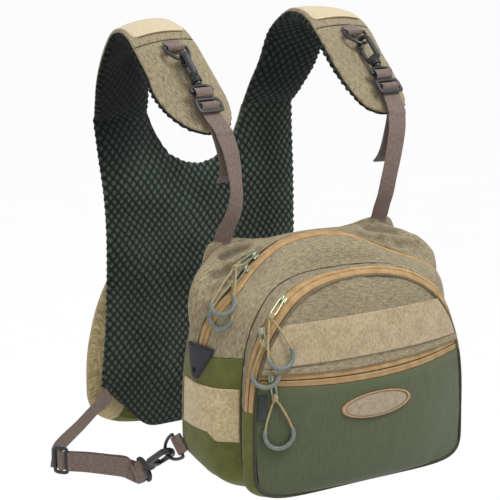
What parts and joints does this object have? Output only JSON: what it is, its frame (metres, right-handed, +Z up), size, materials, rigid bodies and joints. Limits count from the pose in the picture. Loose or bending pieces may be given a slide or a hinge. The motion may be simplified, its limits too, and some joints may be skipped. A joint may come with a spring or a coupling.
{
  "type": "chest pack",
  "caption": "Fishing chest pack on a padded mesh yoke with snap-hook chest and waist straps, zipped compartments, a back pouch and a bare oval badge.",
  "frame": {"origin": "middle between the two shoulder arms, level with the underside of their crests, where the yoke rests on the wearer's shoulders", "axes": "+X to the side of the right-hand arm as seen from the front, +Y towards the wearer's back, +Z up"},
  "size_m": [0.4228, 0.3454, 0.4603],
  "materials": {
    "khaki_cloth": "melange weave",
    "tan_cloth": "napped",
    "olive_cloth": "plain weave",
    "green_ribbed_cloth": "vertical ribs",
    "zip_tape": "coil zip tape",
    "spacer_mesh": "3-D spacer mesh",
    "webbing": "ribbed webbing",
    "buckle_plastic": "satin",
    "rubber": "matt",
    "badge_rubber": "matt",
    "zip_pull": "plated slider, cord and grip"
  },
  "bodies": {
    "pack": {"arm_cover_left": "khaki_cloth", "arm_cover_right": "khaki_cloth", "arm_pad_left": "spacer_mesh", "arm_pad_right": "spacer_mesh", "back_pad": "spacer_mesh", "back_pouch": "khaki_cloth", "back_shell": "khaki_cloth", "badge": "badge_rubber", "bag_back_wall": "khaki_cloth", "chest_web_left": "webbing", "chest_web_right": "webbing", "compartment_wall": "khaki_cloth", "d_ring_left": "buckle_plastic", "d_ring_right": "buckle_plastic", "front_band": "tan_cloth", "front_gusset_lower": "olive_cloth", "front_gusset_upper": "khaki_cloth", "front_panel": "khaki_cloth", "front_pull_lower": "zip_pull", "front_pull_upper": "zip_pull", "front_zip": "zip_tape", "hook_body_left": "buckle_plastic", "hook_body_right": "buckle_plastic", "hook_eye_left": "buckle_plastic", "hook_eye_right": "buckle_plastic", "main_front_gusset": "khaki_cloth", "main_lower_gusset": "olive_cloth", "main_pull_lower": "zip_pull", "main_pull_upper": "zip_pull", "main_rear_gusset": "khaki_cloth", "main_zip": "zip_tape", "pocket_panel": "green_ribbed_cloth", "pocket_pull": "zip_pull", "pocket_zip": "zip_tape", "ring_loop_left": "webbing", "ring_loop_right": "webbing", "shoulder_patch_left": "tan_cloth", "shoulder_patch_right": "tan_cloth", "side_band_left": "tan_cloth", "side_band_right": "tan_cloth", "tri_glide_left": "buckle_plastic", "tri_glide_right": "buckle_plastic", "waist_glide_left": "buckle_plastic", "waist_glide_right": "buckle_plastic", "waist_hook_body_left": "buckle_plastic", "waist_hook_body_right": "buckle_plastic", "waist_hook_eye_left": "buckle_plastic", "waist_hook_eye_right": "buckle_plastic", "waist_ring_left": "buckle_plastic", "waist_ring_right": "buckle_plastic", "waist_tab_left": "webbing", "waist_tab_right": "webbing", "waist_web_left": "webbing", "waist_web_right": "webbing", "zip_garage_left": "rubber", "zip_garage_right": "rubber"},
    "gate_left": {"hook_gate_left": "buckle_plastic"},
    "gate_right": {"hook_gate_right": "buckle_plastic"},
    "waist_gate_left": {"waist_hook_gate_left": "buckle_plastic"},
    "waist_gate_right": {"waist_hook_gate_right": "buckle_plastic"}
  },
  "joints": [
    {"name": "gate_left_press", "type": "hinge", "parent": "pack", "child": "gate_left", "pos_m": [-0.10764, -0.08242, -0.03547], "axis": [0.9397, -0.2337, 0.2497], "range_deg": [0, 18], "stiffness_Nm_per_rad": 0.01},
    {"name": "gate_right_press", "type": "hinge", "parent": "pack", "child": "gate_right", "pos_m": [0.10764, -0.08242, -0.03547], "axis": [0.9397, 0.2337, -0.2497], "range_deg": [0, 18], "stiffness_Nm_per_rad": 0.01},
    {"name": "waist_gate_left_press", "type": "hinge", "parent": "pack", "child": "waist_gate_left", "pos_m": [-0.1466, -0.08521, -0.41814], "axis": [-0.1992, -0.6275, -0.7527], "range_deg": [0, 18], "stiffness_Nm_per_rad": 0.01},
    {"name": "waist_gate_right_press", "type": "hinge", "parent": "pack", "child": "waist_gate_right", "pos_m": [0.1466, -0.08521, -0.41814], "axis": [-0.1992, 0.6275, 0.7527], "range_deg": [0, 18], "stiffness_Nm_per_rad": 0.01}
  ]
}
